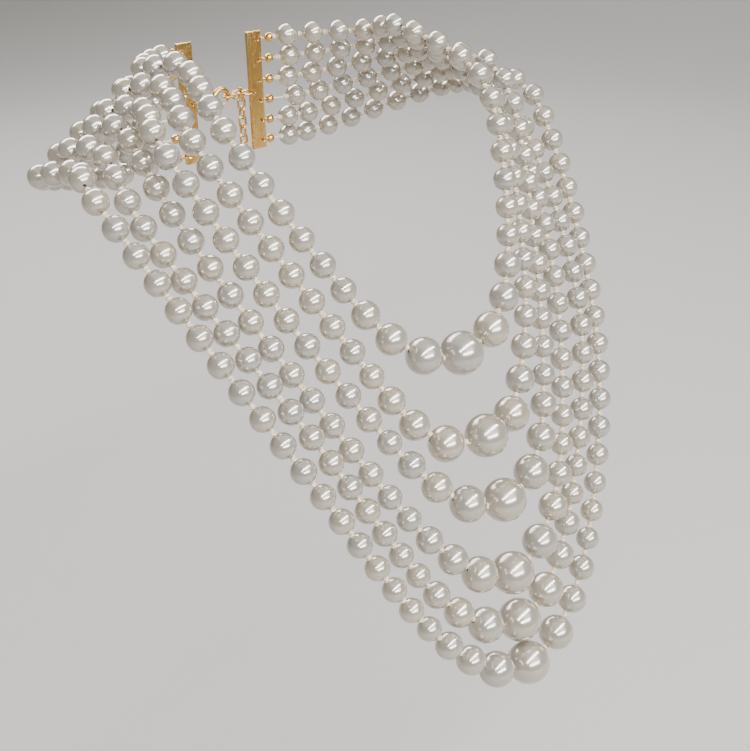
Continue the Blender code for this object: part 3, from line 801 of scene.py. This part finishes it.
# A small pearl on a headed pin, whose wire is bent to a loop and wrapped twice round its own neck.
def buildDrop(hangY, top):
    x, loopRadius, pearl = chain["x"], chain["dropLoop"], strands["dropPearl"]
    eyeZ = top - loopRadius
    neckZ = eyeZ - loopRadius
    pearlZ = neckZ - chain["neckToPearl"] - pearl / 2
    footZ = pearlZ - pearl / 2
    points = []
    for i in range(27):
        turn = math.radians(chain["loopStart"] - chain["loopTurn"] * i / 26)
        points.append((x + loopRadius * math.sin(turn), hangY, eyeZ - loopRadius * math.cos(turn)))
    points += [(x, hangY, level) for level in (neckZ - chain["neck"], footZ - chain["foot"])]
    bm = bmesh.new()
    addShape(bm, wireMesh(points, [chain["pinWire"]] * len(points)), Matrix.Identity(4))
    wrap = []
    for i in range(31):
        turn = math.radians(chain["wrapTurn"] * i / 30)
        out, along = chain["wrapRadius"] * math.cos(turn), chain["wrapRadius"] * math.sin(turn)
        level = neckZ - chain["wrapStart"] - turn * chain["wrapRise"]
        wrap.append((x + out, hangY + along, level))
    addShape(bm, wireMesh(wrap, [chain["wrapWire"]] * len(wrap)), Matrix.Identity(4))
    head = meshFrom(spun(chain["head"], 24), "head")
    addShape(bm, head, aimed((x, hangY, footZ - chain["headLift"]), (0, 0, 1)))
    finishPiece("dropPin", meshFrom(bm, "dropPin"), body="drop", nodes=["drop_pin"], sharp=50,
                **goldPiece)
    pearlsPiece("dropPearl", [((x, hangY, pearlZ), pearl, (0, 0, 1))], "drop", ["drop_pearl"])


# A plain pale paper sweep, flat under the necklace and curving up all round, with soft light: a
# long strip overhead and a low window in front, a wide dim glow between them, and broad lights
# behind and above.
stage = {
    "floorZ": -0.30, "flat": 1.3, "cove": 1.1, "wall": 1.6,  # metres
    "paper": "ABA9A5", "shade": "A7A5A1", "roughness": 0.75, "specular": 0.2,
    "fibre": 3.0,  # mm
    "world": "B9BABF", "worldStrength": 0.2,
}


def buildStage():
    cove = stage["cove"]
    bends = [math.radians(90 * i / 12) for i in range(13)]
    curve = [(stage["flat"] + cove * math.sin(a), cove * (1 - math.cos(a))) for a in bends]
    outline = [(0, 0), *curve, (stage["flat"] + cove, cove + stage["wall"])]
    bm = spun(outline, 72, closed=False)
    bmesh.ops.translate(bm, verts=bm.verts, vec=(0, 0, stage["floorZ"]))
    mesh = meshFrom(bm, "floor")
    mesh.shade_smooth()
    mat, shader = newMaterial("mattPaper", {
        "Roughness": stage["roughness"], "Specular IOR Level": stage["specular"]})
    place = addNode(mat, "ShaderNodeTexCoord")
    fibres = addNode(mat, "ShaderNodeTexNoise", {"Scale": 1 / (stage["fibre"] * mm), "Detail": 3.0},
                     {"Vector": place.outputs["Object"]})
    colour = addNode(mat, "ShaderNodeMix",
                     {"data_type": "RGBA", 6: hexColour(stage["paper"]),
                      7: hexColour(stage["shade"])}, {0: fibres.outputs["Fac"]})
    mat.node_tree.links.new(colour.outputs[2], shader.inputs["Base Color"])
    mesh.materials.append(mat)
    floor = bpy.data.objects.new("floor", mesh)
    bpy.context.scene.collection.objects.link(floor)
    world = bpy.data.worlds.new("studio")
    world.use_nodes = True
    background = world.node_tree.nodes["Background"]
    background.inputs["Color"].default_value = hexColour(stage["world"])
    background.inputs["Strength"].default_value = stage["worldStrength"]
    bpy.context.scene.world = world


lights = {
    "target": (0.0, -0.06, -0.06),
    # name: direction towards the light, how far, long side along, length, width, watts, colour
    "overheadStrip": ((0.02, -0.585, 0.81), 1.0, (0.957, 0.273, -0.09), 2.2, 0.09, 30, "FFFFFF"),
    "frontWindow": ((-0.12, -0.93, 0.33), 1.1, (1.0, 0.0, 0.0), 1.1, 0.18, 17, "F6F8FF"),
    "frontGlow": ((0.12, -0.80, 0.58), 1.25, (0.97, 0.2, 0.0), 1.1, 0.6, 5, "EEF3FF"),
    "backSoft": ((0.15, 0.80, 0.55), 1.3, (1.0, 0.0, 0.0), 1.3, 0.5, 26, "FBFAFF"),
    "softTop": ((0.1, 0.15, 0.98), 2.3, (1.0, 0.0, 0.0), 3.6, 3.6, 30, "FFF9F0"),
}


def buildLights():
    target = Vector(lights["target"])
    for name in list(lights)[1:]:
        direction, distance, longSide, length, width, watts, colour = lights[name]
        data = bpy.data.lights.new(name, "AREA")
        data.shape = "RECTANGLE"
        data.size, data.size_y = length, width
        data.energy = watts
        data.color = hexColour(colour)[:3]
        lamp = bpy.data.objects.new(name, data)
        bpy.context.scene.collection.objects.link(lamp)
        back = Vector(direction).normalized()
        side = (Vector(longSide) - back * back.dot(Vector(longSide))).normalized()
        axes = Matrix((side, back.cross(side), back)).transposed().to_4x4()
        lamp.matrix_world = Matrix.Translation(target + back * distance) @ axes


buildStage()
buildLights()
print("stage: floor, world and", len(lights) - 1, "lights")
for side, label in ((1, "left"), (-1, "right")):
    buildBar(side, label)
buildClasp()
print("closure: bars, clasp and trigger")
for strand in range(strandCount):
    buildStrand(strand)
buildLinks()
print("links: rings, catch links, extender chain and drop")
